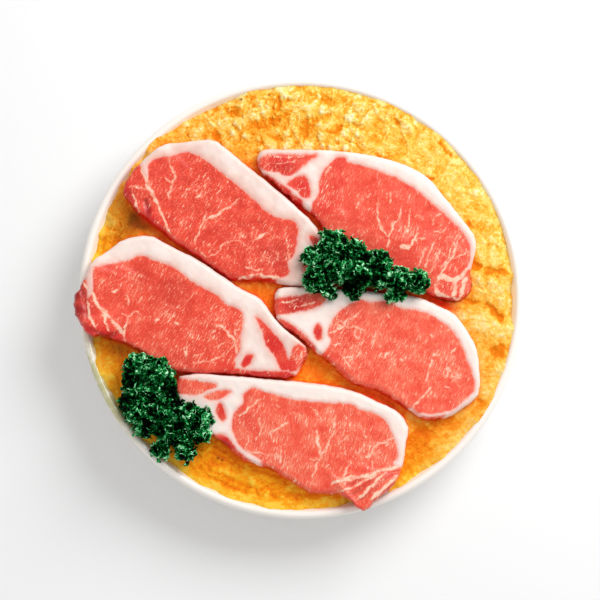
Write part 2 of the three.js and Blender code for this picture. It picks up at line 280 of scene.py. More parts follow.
# Brown specks, and painted shade beside and under the slices and parsley and at the near left: x,
# y, half width, strength
STAINS_AND_SHADE = [
    (-52.3, -102.6, 1.1, 1), (-49.8, -103.9, 0.9, 1), (-39.3, 126, 1, 0.9),
    (-21.4, 129.4, 0.9, 0.9), (-96.3, 43.6, 6, 0.6), (-86.8, 37.3, 6, 0.65), (-124, -36, 14, 0.4),
    (-112, -34, 8, 0.35), (-120, -60, 7, 0.3), (-116, 52, 14, 0.35), (-100, 50, 9, 0.6),
    (-112, 36, 10, 0.4), (30, -59, 6, 0.4), (42, -66, 5, 0.4), (54, -72, 4, 0.4), (-52, 22, 6, 0.5),
    (-66, 30, 5, 0.4), (22, 5, 5, 0.5), (32, 3, 5, 0.5), (46, 1, 5, 0.5), (58, -3, 4, 0.5),
    (-105, 46, 6, 0.6),
]
# Red drip in the gaps, painted deep red as the shade under the slices' edges: x, y, half length,
# half width, turn in degrees, strength
DRIPS_AND_SHADE = [
    (-8, 62, 28, 5, -42, 1), (-55, 20, 18, 5, -38, 0.9), (-32, -53, 26, 3, -2, 0.9),
    (86, -4, 14, 4, -30, 0.9), (48, -67, 16, 5, -33, 0.6), (-4, -16, 14, 5, -42, 0.8),
    (40, 2, 22, 4, -8, 0.8),
]


def lumps(x, y, width, salt):
    """Rounded lumps of the given width: 1 on top of one, 0 in the creases between them."""
    return min(2.1 * abs(noise.noise(Vector((x / width, y / width, salt)))), 1)


def crumbs(x, y, width, salt):
    """Separate crumbs of the given width: 1 on top of one, 0 in the cracks between them."""
    near = noise.voronoi(Vector((x / width, y / width, salt)))[0]
    return ramp(0.0, 0.5, near[1] - near[0])


def far_right(x, y):
    """How far a place lies towards the far right, from 0 to 1."""
    return ramp(-70, 90, FAR_WAY[0] * x + FAR_WAY[1] * y)


def paste_relief(x, y):
    """Height of the open paste over its mean level, and how light it is, from 0 to 1, with painted
    light on tops and painted shade in creases.
    """
    spot = Vector((x, y, 0))
    radius = math.hypot(x, y)
    turn = math.atan2(y, x)
    far = far_right(x, y)
    warp = noise.noise_vector(spot / 3.2) * 1.3 + noise.noise_vector(spot / 10) * 3
    wx, wy = x + warp.x, y + warp.y
    large = lumps(wx, wy, LUMP, 3) - 0.4
    middle = crumbs(wx, wy, CRUMB, 11) * (0.5 + 0.5 * lumps(x, y, 7, 17)) - 0.4
    small = crumbs(x + 2 * warp.y, y + 2 * warp.x, GRIT, 29) - 0.5
    fine = lumps(x, y, SPECK, 31) - 0.4
    patch = noise.noise(spot / PATCH + Vector((7, 3, 0)))
    swell = noise.noise(spot / SWELL)
    stroke = (turn * RIM_RADIUS / SCALLOP + 1.1 * noise.noise(spot / 24)) % 1
    stroke = (stroke**2 - 0.33) * ramp(70, 105, radius) * (0.2 + 0.8 * far)
    smear = noise.noise(Vector((radius / 2.4, turn * 11 + 2 * swell, 5))) * (1 - far)
    even = 1 - 0.5 * ramp(20, 100, x)
    craggy = (0.5 + 0.5 * far) * (0.6 + 0.7 * ramp(-0.3, 0.3, patch))
    raised = LUMP_HEIGHT * large + CRUMB_HEIGHT * middle + GRIT_HEIGHT * small
    raised = craggy * even * raised + 0.14 * small + 0.2 * fine + 0.35 * smear
    raised += PASTE_HEAP * far * ramp(70, 112, radius) + 1.1 * swell + 0.7 * stroke
    light = craggy * (LUMP_LIGHT * large + CRUMB_LIGHT * middle + GRIT_LIGHT * small)
    light = 0.54 + (light + 0.2 * stroke + 0.22 * patch) * even
    return raised, light + 0.06 * small + 0.08 * fine + 0.25 * smear


def ovals(spots, marks):
    """The summed effects of oval marks: x, y, half length, half width, turn and the effects."""
    total = 0
    for x, y, long, wide, turn, *effects in marks:
        way = math.radians(turn)
        dx, dy = (spots - (x, y)).T
        u = (dx * math.cos(way) + dy * math.sin(way)) / long
        v = (dy * math.cos(way) - dx * math.sin(way)) / wide
        total = total + np.exp(-((u**2 + v**2) ** 1.5))[:, None] * effects
    return total


joined = bmesh.new()
for name in SLICES:
    joined.from_mesh(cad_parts[name].data)
slices_surface = BVHTree.FromBMesh(joined)
joined.free()
wall_radii, wall_heights = np.vstack([inner_wall[:0:-1], lip[: -LIP_INSIDE - 1 : -1]]).T
edge_radius = np.interp(PASTE_EDGE, wall_heights, wall_radii) - WALL_GAP
cells = round(2 * edge_radius / PASTE_GRID)

bm = bmesh.new()
bmesh.ops.create_grid(bm, x_segments=cells, y_segments=cells, size=edge_radius * MM)
up = Vector((0, 0, 1))


def under_slice(x, y):
    """The underside of the slice over a place, in millimetres, or None in the open."""
    hit = slices_surface.ray_cast(Vector((x * MM, y * MM, 10 * MM)), up)[0]
    return None if hit is None else hit.z / MM


def enclosed(x, y):
    """How far slices close a place in, from 0 on the open side to 1 in a gap between them."""
    start = Vector((x, y, PASTE_LEVEL + 3)) * MM
    met = [slices_surface.ray_cast(start, way, GAP_SIGHT * MM)[0] is not None for way in COMPASS]
    return ramp(0.45, 0.9, sum(met) / len(COMPASS))


hidden = {v for v in bm.verts if under_slice(v.co.x / MM, v.co.y / MM) is not None}
open_faces = [f for f in bm.faces if not all(v in hidden for v in f.verts)]
open_edges = list({e for f in open_faces for e in f.edges})
bmesh.ops.subdivide_edges(bm, edges=open_edges, cuts=PASTE_CUTS, use_grid_fill=True)
outside = [v for v in bm.verts if math.hypot(v.co.x, v.co.y) > edge_radius * MM]
bmesh.ops.delete(bm, geom=outside, context="VERTS")

tone, juice, drip, stain = (
    bm.verts.layers.float.new(label) for label in ("tone", "juice", "drip", "stain")
)
spots = np.array([v.co.xy for v in bm.verts]) / MM
wander = np.array([noise.noise_vector(Vector((x, y, 0)) / 4)[:2] for x, y in spots])
strokes = ovals(spots + RAGGED * wander, STROKES)
drips_and_shade = ovals(spots, DRIPS_AND_SHADE)
stains_and_shade = ovals(spots, [(x, y, size, size, 0, strength) for x, y, size, strength in STAINS_AND_SHADE])
for v, (lift, lighter), (brown,), (red,) in zip(bm.verts, strokes, stains_and_shade, drips_and_shade):
    x, y = v.co.x / MM, v.co.y / MM
    radius = math.hypot(x, y)
    far = far_right(x, y)
    turn = Vector((x, y, 0)) / radius if radius else up
    rim_height = PASTE_EDGE - EDGE_DROP * (1 - far)
    for close, high in EDGE_WAVES:
        rim_height += high * noise.noise(turn * close) * (1.5 - 0.5 * far)
    for way, half_width, rise in SMEARS:
        rim_height += rise * math.exp(-turned_off(x, y, way, half_width) ** 2)
    rim_height = min(rim_height, PASTE_BRIM)
    reach = np.interp(rim_height, wall_heights, wall_radii) - WALL_GAP
    raised, light = paste_relief(x, y)
    # Brown specks, and painted shade near the slices and at the near left.
    v[stain] = brown
    # The tone carries painted light on the tops of lumps and painted shade in creases and stroke
    # hollows.
    v[tone] = light + lighter + 0.35 * (1 - ramp(0, 9, edge_radius - radius)) * (1 - far)
    inward = ramp(0, 7, edge_radius - radius)
    height = rim_height + (PASTE_LEVEL + raised + lift - rim_height) * inward
    bed = under_slice(x, y)
    if bed is None:
        near = slices_surface.find_nearest(Vector((x, y, PASTE_LEVEL)) * MM)[3] / MM
        height += 0.7 * math.exp(-((near / 1.8) ** 2))
        # Orange-red where slices close a gap in and close beside them: meat juice, with painted
        # shade and red bounce light from the meat.
        shut_in = enclosed(x, y)
        v[juice] = max(shut_in, 0.8 * math.exp(-near / 1.6))
        # Deep red painted close along the slices' edges, more where they close a gap in, is painted
        # contact shade.
        v[drip] = max(red, (0.3 + 0.7 * shut_in) * math.exp(-((near / 2) ** 2)))
    else:
        height = min(height, bed - BED_GAP)
    if v.is_boundary:
        x, y, radius = (c * edge_radius / radius for c in (x, y, radius))
    drawn_in = 1 + (reach / edge_radius - 1) * ramp(edge_radius - 25, edge_radius, radius)
    v.co = Vector((x * drawn_in, y * drawn_in, height)) * MM

rim = [e for e in bm.edges if e.is_boundary]
for e in rim:
    e.smooth = False
for ring in PASTE_SKIRT:
    grown = bmesh.ops.extrude_edge_only(bm, edges=rim)["geom"]
    for v in (g for g in grown if isinstance(g, bmesh.types.BMVert)):
        lower = min(ring, v.co.z / MM - 0.3)
        reach = np.interp(lower, wall_heights, wall_radii) - WALL_GAP
        v.co = v.co.xy.normalized().to_3d() * reach * MM + up * lower * MM
    rim = [g for g in grown if isinstance(g, bmesh.types.BMEdge)]
bmesh.ops.edgeloop_fill(bm, edges=rim)
bmesh.ops.recalc_face_normals(bm, faces=bm.faces)

# Yellow miso: light crumbs of mashed bean in a moist orange ground. Its colour is painted lighter
# on the crumbs' tops and darker in the hollows, as painted light and shade. It is dull with a
# faint wet sheen, and light goes a little way into it.
NEAR_TONES = [
    (0.15, "#E86E00"), (0.4, "#F68C04"), (0.55, "#FFA010"), (0.7, "#FFB01E"), (0.9, "#FFCA42"),
]
FAR_TONES = [
    (0.1, "#EA8406"), (0.3, "#FAAC2A"), (0.5, "#FFCC5C"), (0.68, "#FFE08C"), (0.92, "#FFF0C4"),
]
# Mottling of the paste: width, detail, roughness and its part in the tone
MOTTLES = [(1.5, 3, 0.7, 0.65), (5, 4, 0.7, 0.95), (16, 2, 0.5, 0.3)]
# What covers the paste in places (brown specks with painted shade, juice with painted red bounce
# light and shade, drip with painted contact shade): its label on the vertices, its colour, how much
# shows at most
COVERS = [("stain", "#8C480A", 1), ("juice", "#F8600E", 0.6), ("drip", "#E41008", 1)]
miso, tree, shader = material(
    "coarse_yellow_miso_paste", Roughness=0.58, IOR=1.33, Specular_IOR_Level=0.2,
    Subsurface_Weight=0.3, Subsurface_Radius=(1.0, 0.5, 0.1), Subsurface_Scale=2 * MM,
)
spot = add(tree, "TexCoord", {}, out="Object")
tones = add(tree, "Attribute", {}, out="Fac", attribute_name="tone")
mottles = []
for width, detail, roughness, part in MOTTLES:
    pattern = {"Vector": spot, "Scale": 1 / (width * MM), "Detail": detail, "Roughness": roughness}
    mottles.append(add(tree, "TexNoise", pattern))
    tones = add(tree, "Math", [mottles[-1], part, tones], "MULTIPLY_ADD")
tones = add(tree, "MapRange", [tones, 0.95, 1.95])
near_tone = add(tree, "ValToRGB", [tones], stops=NEAR_TONES)
far_tone = add(tree, "ValToRGB", [tones], stops=FAR_TONES)
far = add(tree, "VectorMath", [spot, (*FAR_WAY, 0)], "DOT_PRODUCT")
far = add(tree, "MapRange", [far, -50 * MM, 100 * MM])
colour = add(tree, "Mix", [far, near_tone, far_tone], data_type="RGBA")
for label, cover, most in COVERS:
    share = add(tree, "Attribute", {}, out="Fac", attribute_name=label)
    share = add(tree, "Math", [share, most], "MULTIPLY")
    colour = add(tree, "Mix", [share, colour, linear(cover)], data_type="RGBA")
rough = add(tree, "Bump", {"Height": mottles[0], "Strength": 0.5, "Distance": 0.5 * MM})
fill(shader, {"Base Color": colour, "Normal": rough})
piece("miso_bed", mesh_of("miso_bed", bm), miso, "miso_paste")

# The pork: five raw loin slices, cut across the eye with its cap of white fat. Small side
# muscles lie in the fat, and seams and fine marbling run through the lean.
VOXEL = 0.75  # width of a cell of the remeshed slice
EASING = 8  # rounds of smoothing after it
WANDER = 3.5  # outlines, seams and cuts wander in waves of this width
OUTLINE_WANDER, SEAM_WANDER = 0.7, 1.3  # and by up to this far
SWELL_WIDTH, SWELL_HEIGHT = 9, 0.3
RIPPLE_WIDTH, RIPPLE_HEIGHT = 3.2, 0.14
RIDGE_SIZE = (4, 4, 14)  # of the ridges down the slice's sides
RIDGE_HEIGHT = 0.9
CAP_RISE = 0.28  # how far the fat stands above the lean
CAP_GROOVE = 0.22  # depth of the groove between them
SEAM_RISE = 0.1
CUT_DEPTH = 0.9
FAR_OFF = 99.0  # stands for the distance to an outline or a seam before any is measured
# Each slice: how pale it is, which way its grain runs in degrees, the outlines of its muscles,
# its seams as a half width and points, the cuts between loose strands, and round marks (x, y,
# size, strength) where it is dark (some of them painted shade, where the parsley shades it or it
# folds under), vivid red or densely marbled, or is lifted
MUSCLES = {}
MUSCLES["slice_far_left"] = {
    "pale": -0.35, "grain": 58,
    "lean": [
        [(-97, 80), (-93.6, 84.2), (-82.5, 86.5), (-74.2, 89.2), (-62.5, 84.8), (-49.9, 75.2),
         (-33.9, 61.8), (-20, 49.5), (-12.9, 46.9), (-6, 45.2), (-3, 41.2), (-3.4, 35.3),
         (-5.9, 23.4), (-10, 20), (-8.8, 15.7), (-9.2, 11.4), (-16, 8.6), (-21, 3), (-30, 0),
         (-44, 0), (-58, 12), (-84, 28), (-102, 42), (-118, 56), (-116, 76), (-104, 82), (-101, 76),
         (-99, 72), (-97.5, 75)],
        [(4, 36), (9, 35), (11, 31), (7, 30)],
        [(0, 17), (5, 19), (6, 15), (2, 12)],
    ],
    "seams": [
        (1.3, (-101, 78), (-99, 73), (-98, 69)), (1.1, (-99.1, 69), (-93.8, 61), (-91, 55)),
        (0.8, (-92.5, 57.5), (-89.5, 51.6), (-86, 44.5)),
        (0.7, (-87, 46), (-85.2, 42), (-83.2, 36.9)),
        (0.7, (-41, 8.2), (-33, 10.5), (-26, 11), (-18.2, 9.4), (-9.7, 8)),
        (0.35, (-108.7, 66), (-105.6, 66.4), (-98.7, 64.9)), (0.4, (-99, 73), (-97, 66), (-95, 63)),
        (0.6, (-107, 66), (-105.8, 60), (-104.5, 55), (-102, 51)),
        (0.45, (-84.5, 85), (-83.5, 80), (-80, 73.5), (-82.5, 68), (-84.5, 59)),
        (0.4, (-87, 73), (-82.5, 69)), (0.45, (-68, 30.5), (-66, 36), (-63.5, 42), (-62, 45)),
        (0.75, (-62, 45), (-57.5, 47.5), (-53.5, 49.5), (-50, 52), (-47, 55)),
        (0.3, (-47, 54), (-43.5, 56), (-40, 60)), (0.4, (-62, 45), (-61.5, 49), (-60.5, 50.5)),
        (0.4, (-64.5, 26), (-61, 22), (-56.5, 23.5), (-52.5, 26.5), (-49, 31.5)),
        (0.25, (-49, 31.5), (-42.5, 33), (-34.5, 29)),
        (0.45, (-31.5, 31.5), (-28.5, 34), (-25.5, 36.5), (-22, 38.5)),
        (0.35, (-10.5, 35), (-9.5, 28.5), (-8.5, 23), (-9, 17.5)),
        (0.7, (-67.5, 60), (-64.5, 61.5)), (0.3, (-64.5, 61.5), (-63, 64.5)),
        (0.5, (-74.5, 65.5), (-70, 66)), (0.6, (-25.5, 24), (-23, 21.5)),
        (0.3, (-54.5, 62), (-52, 65)), (0.3, (-62.5, 67), (-61.5, 69.5)),
        (0.45, (-35.5, 16), (-26, 14)), (0.35, (-14.5, 26), (-16, 20.5)),
    ],
    "cuts": [[(-99, 58), (-97.5, 53), (-97, 48)]],
    "dark": [(-109, 62, 3, 0.4), (-16, 23, 9, 0.3)],
    "vivid": [
        (-110, 63, 4, 0.9), (-109, 54, 4, 0.7), (-96.5, 52, 3, 1), (-93.5, 46, 3, 1),
        (-90, 40.5, 3, 1), (-98, 46, 3, 0.7),
    ],
    "dense": [(-22, 22, 13, 0.7), (-66, 62, 12, 0.7), (-32, 36, 12, 0.7), (0, 8, 12, 0.8)],
}
MUSCLES["slice_far_right"] = {
    "pale": 0, "grain": 68,
    "lean": [
        [(26.6, 86.6), (20.8, 86), (16, 81), (12, 76), (10.2, 68.2), (9.7, 62.3), (7.2, 58.4),
         (5.7, 53.5), (4, 46), (14, 28), (28, 8), (50, 0), (72, -2), (80, 2), (83, 7), (90.5, 10),
         (98, 11.5), (103, 16), (105, 21), (105.5, 29), (103.4, 34.7), (99.5, 40.5), (94.6, 45.4),
         (89.9, 50.7), (83.8, 55.5), (76, 62.5), (70, 67.3), (60, 73), (51.8, 76.2), (42, 80),
         (34.4, 82.2), (28.5, 83.6)],
        [(-27.8, 82), (-24.9, 87), (-16.2, 88.4), (-3.5, 88.2), (9, 88.4), (5.5, 85.4), (-1, 79.4),
         (-8.8, 74.4), (-17, 77), (-24, 78)],
        [(-5.5, 73), (0.3, 75), (3.2, 71.6), (4.7, 66.8), (4.4, 60.8), (-0.5, 61), (-4, 65),
         (-10, 69)],
        [(-9, 66), (-6, 62.5), (-0.5, 59), (-1, 55), (-12, 62), (-22, 70), (-29, 77), (-22, 75),
         (-16, 70.5)],
        [(78, 4), (83, 10), (90, 13), (98, 13.5), (103.5, 16), (109, 10), (109, 2), (105, -6),
         (98, -9), (82, -7)],
    ],
    "seams": [
        (0.6, (53.5, 29), (54.5, 35)),
        (0.5, (54.5, 35), (51.5, 39), (48.5, 43.5), (47, 50), (48, 61)),
        (0.55, (54.5, 35), (56.5, 42.5), (60, 47)), (0.4, (60, 47), (62, 52), (63, 58)),
        (0.45, (55, 65), (55.5, 57.5)), (0.45, (66.5, 40.5), (67, 46.5), (68, 54)),
        (0.5, (67.8, 29.8), (71.5, 38)), (0.5, (72.1, 17.1), (75.3, 22.6), (76.3, 27.2)),
        (0.5, (76.6, 16.3), (79.4, 24.4), (80.8, 28.1), (83.6, 34.5)),
        (0.45, (79.3, 12.7), (82.5, 17.2), (84.8, 24.5), (85.8, 29)),
        (0.45, (88.8, 18.1), (93, 26.3), (95.3, 33.6)), (0.35, (81.9, 43.6), (83.3, 48.2)),
        (0.4, (13.5, 73.3), (16.2, 78.9), (18, 80.7)), (0.4, (34.2, 53.3), (35.5, 57.9)),
        (1.4, (62, 30), (67.5, 29)), (0.5, (70, 33), (71, 35), (72.5, 38)),
        (0.5, (73, 35), (77, 35)), (0.4, (82.7, 39), (88.2, 39.1), (90.9, 42.7)),
        (0.4, (70.5, 48), (73, 50), (76, 47)), (0.4, (84, 50), (87.5, 50.5)),
        (0.55, (84.5, 7.5), (87, 13), (94.5, 24), (98.5, 35)), (0.55, (94.5, 22), (104.5, 26.5)),
        (1.5, (84, 8.5), (88.2, 10.5), (94.5, 8.2), (99.9, 11.4), (104.5, 16.5)),
        (1.2, (83.6, 5.9), (84, 2), (85.4, -0.5), (90, -2), (94.4, -2.2)),
        (1.0, (94.5, 8.2), (96, 3), (94.4, -2.2)), (1.3, (99.7, -0.4), (101, 5), (102.6, 10.5)),
        (0.8, (94.4, -2.2), (97, -3.5), (99.7, -0.4)), (0.3, (40, 61), (43.5, 64)),
        (0.3, (41.5, 52), (42, 54)), (0.4, (89.5, 34), (91, 30.5)),
        (0.35, (-20, 88), (-14, 86.4), (-6, 86.8), (3, 88)),
        (0.3, (-24, 83), (-17, 82), (-9, 83.4), (-2, 84.6)),
    ],
    "cuts": [[(84, -1), (90, -3.5), (96, -4)]],
    "dark": [(-9, 79.5, 5, 0.35), (-16, 81, 4, 0.3)],
    "vivid": [
        (-14, 82, 12, 0.8), (0, 68, 7, 0.85), (-22, 72, 6, 1), (-10, 63, 5, 1), (-2, 57, 5, 1),
        (89, 3, 5, 0.5), (88, -5, 5, 0.9), (97, -6, 5, 0.8), (16, 68, 13, 0.35), (12, 56, 9, 0.45),
        (22, 82, 7, 0.4), (60, 20, 16, 0.25),
    ],
    "dense": [
        (88, 24, 12, 0.85), (100, 38, 7, 0.6), (66, 40, 8), (16, 60, 9), (92, 3, 8), (-14, 84, 10),
        (0, 68, 6),
    ],
}
MUSCLES["slice_left"] = {
    "pale": -0.1, "grain": 60,
    "lean": [
        [(-129.5, 14.2), (-125.5, 15.8), (-118.3, 17.8), (-111.1, 18.8), (-105, 21.5),
         (-99.9, 22.6), (-93.7, 20), (-85.6, 17.5), (-80, 15), (-73.4, 9.9), (-67.3, 5.3),
         (-60, 1.7), (-53.1, -2.4), (-47, -8), (-39.9, -10.6), (-37.3, -15.2), (-37.9, -22.3),
         (-38.9, -29.4), (-39.4, -36.5), (-42, -41.5), (-42, -47), (-42.5, -56), (-70, -56),
         (-86, -53), (-98, -45), (-108, -38), (-120, -35), (-136, -34), (-142, -24), (-134, -6),
         (-130, 0), (-130.5, 9)],
        [(-134, 4), (-136, 7), (-143, 0), (-147, -12), (-140, -24), (-134, -28), (-133, -14)],
        [(-29.1, -15.3), (-23.6, -19.3), (-17.4, -26.4), (-12.3, -32.4), (-9.3, -40.6),
         (-6.2, -45.6), (-9.3, -48.6), (-13.9, -48), (-16.4, -41.5), (-22.5, -33.4), (-26, -23.3)],
        [(-38, -45.5), (-36, -47), (-32.5, -43.5), (-31, -39.5), (-33, -38.5), (-36.5, -41)],
        [(-44, -48), (-32, -49), (-20, -49.4), (-8, -49.8), (-4, -56), (-46, -56)],
        [(-5.7, -33.6), (-1, -33), (2, -36), (1.5, -42), (-3, -47), (-7.3, -49.6), (-9, -46),
         (-7.5, -40)],
    ],
    "seams": [
        (1.2, (-136.3, 5.2), (-130.9, -1), (-127.7, -8.1), (-123.6, -12.6), (-119.1, -17.5)),
        (1.3, (-119.1, -17.5), (-114.6, -22.3), (-110.6, -27.6)),
        (0.9, (-133.4, -6.4), (-132.4, -11.7), (-131.4, -17.1), (-127.8, -23.3)),
        (0.7, (-126.1, -17.1), (-123.5, -15.2), (-122.1, -19.7), (-119, -25)),
        (0.7, (-108.5, -15.5), (-109.5, -22), (-111, -27), (-110, -31)),
        (0.45, (-112.5, -14), (-108.5, -15), (-105, -12.5), (-100, -14)),
        (0.45, (-103.4, -7.1), (-100.3, -3.5)), (0.4, (-107.8, -8), (-109.6, -1.8)),
        (0.9, (-92, -17.5), (-89.5, -17.5)), (0.6, (-118.5, 0), (-115, 0.5)),
        (0.7, (-56.4, -20.3), (-50.2, -22.1), (-45.7, -26.5), (-42.1, -31.8), (-41.2, -38.1)),
        (0.5, (-41.3, -27.4), (-42.2, -23.8), (-39.5, -22.9)), (0.4, (-73, -40.8), (-71.2, -37.3)),
        (0.5, (-67.5, -45), (-63.5, -44), (-58, -43), (-49, -39)), (0.4, (-67, -40), (-61, -38)),
        (0.4, (-73.5, -36.5), (-72, -40)), (0.6, (-79.5, -18.5), (-76.5, -20.5)),
        (0.5, (-56.5, -25.5), (-54, -23.5)), (0.4, (-53, -34.5), (-48.5, -31.5)),
        (0.3, (-61.5, -11), (-59, -14.5)), (0.3, (-49.5, -11), (-47.5, -14)),
    ],
    "cuts": [
        [(-140, 3), (-135, -5), (-133.5, -16)],
        [(-135.5, -21), (-129, -25.5), (-122.5, -28), (-116.5, -27)],
    ],
    # The folded-under left end and the patch beside the parsley are painted dark as shade.
    "dark": [
        (-140, -2, 7, 1), (-139, -12, 6, 1), (-101, 10, 7, 0.25), (-82, 0, 12, 0.3),
        (-72, -44, 8, 0.25),
    ],
    "vivid": [
        (-133, -25, 6, 0.9), (-124, -27, 7, 0.9), (-114, -30, 5, 0.9), (-18, -32, 9, 0.85),
        (-131, -12, 5, 0.6), (-35, -43, 5, 0.9), (-26, -51, 12, 0.9), (-10, -51, 8, 0.9),
        (-46, -52, 8, 0.7),
    ],
    "dense": [
        (-52, -28, 15, 0.7), (-114, 6, 14, 0.7), (-70, -36, 14, 0.7), (-80, -18, 10, 0.7),
        (-3, -40, 6),
    ],
}
MUSCLES["slice_right"] = {
    "pale": 0.3, "grain": 64,
    "lean": [
        [(11.8, -38.4), (15.5, -34.8), (17.3, -29.4), (15.4, -24.9), (20.5, -15), (24.5, -10.4),
         (30.9, -6.7), (36.4, -4.5), (42.7, -5.9), (50, -5.3), (56.3, -6.1), (60, -9.2),
         (70, -10.8), (80, -13.4), (85.3, -17), (90.7, -20.6), (96.1, -27), (99.7, -34.3),
         (102.4, -41.5), (105.1, -48.7), (106.9, -56), (106.5, -60.5), (104.1, -63.5), (100, -67.6),
         (95.4, -71.3), (90, -73.8), (79.8, -75.3), (71, -74.4), (66.5, -71.5), (60, -76),
         (46, -68), (30, -64), (14, -52), (4, -40)],
        [(-20, -4.8), (0.3, -1.3), (10.3, 0.8), (13.9, -5), (6.6, -10), (-4.2, -12), (-14.2, -13.8),
         (-20, -13)],
        [(6.8, -24.8), (8, -20.5), (10.4, -20), (12, -24), (11.6, -28.8), (8.6, -29.5)],
        [(-18, -17.5), (-14, -16.4), (-4.6, -22), (7, -33), (6, -38), (-10, -28), (-20, -21)],
        [(70, -76), (76, -77.2), (84, -77), (88, -76), (84, -80), (76, -81)],
    ],
    "seams": [
        (0.9, (81, -38.5), (84, -39)),
        (0.6, (80, -58.5), (78, -61.5), (74, -65), (71, -68.5), (68, -72)),
        (0.6, (15.5, -26), (19.5, -24), (23, -22.5), (26, -21)),
        (0.6, (25, -22), (26.6, -18.9), (29, -16.5), (33.3, -14.1), (36.4, -11.8)),
        (0.4, (25.8, -19), (21.9, -16.7)), (0.4, (25, -21.2), (21.1, -20.5)),
        (0.4, (32.4, -22.8), (32.8, -25.9), (34.5, -30)),
        (0.5, (81.1, -39.8), (79, -46.8), (77.4, -53), (77, -55.4)),
        (0.45, (88.3, -53), (91.5, -48.3), (89.2, -46)), (0.45, (92.9, -54.5), (98.4, -53)),
        (0.4, (43.7, -31.3), (45.7, -24.3)), (0.4, (64.3, -35.2), (65.1, -32.8)),
        (0.45, (26, -21), (27.5, -17), (31, -16)),
        (0.55, (26, -21), (32, -21.5), (36, -22.5), (38, -24.5)),
        (0.55, (24.5, -39), (26.5, -42), (28.5, -45), (29.5, -48.5)),
        (0.5, (26.5, -40), (29.5, -40.5), (32, -40)), (0.5, (93, -37), (95, -35), (95.5, -33.5)),
        (0.35, (92, -42), (89.5, -46.5), (91, -49)), (0.35, (93, -53), (99, -51.5)),
        (0.7, (52, -41), (53, -37)), (0.7, (61, -43.5), (62, -41.5)), (0.4, (53, -13), (54.5, -15)),
        (0.3, (45, -12.5), (46.5, -11.5)), (0.3, (76, -40.5), (76, -35.5)),
        (0.4, (80, -25.5), (81.5, -28)), (0.4, (88.5, -58.5), (91.5, -60)),
        (0.4, (20, -33), (23.5, -31)), (0.6, (-14, -6), (-8.1, -5.5), (-2.4, -3)),
        (0.5, (-10, -9.5), (0, -8), (8, -6)),
    ],
    "dark": [(-6, -8, 8, 0.3)],
    "vivid": [
        (-4, -7, 12, 0.9), (9.5, -25, 5, 0.9), (-8, -24, 8, 0.7), (5, -34, 6, 0.7),
        (24, -26, 9, 0.35), (30, -12, 8, 0.4), (15, -42, 8, 0.4),
    ],
    "dense": [
        (90, -46, 15, 0.75), (32, -34, 16), (24, -22, 10), (56, -36, 12), (98, -68, 6, 0.7),
        (-6, -6, 9, 0.8),
    ],
}
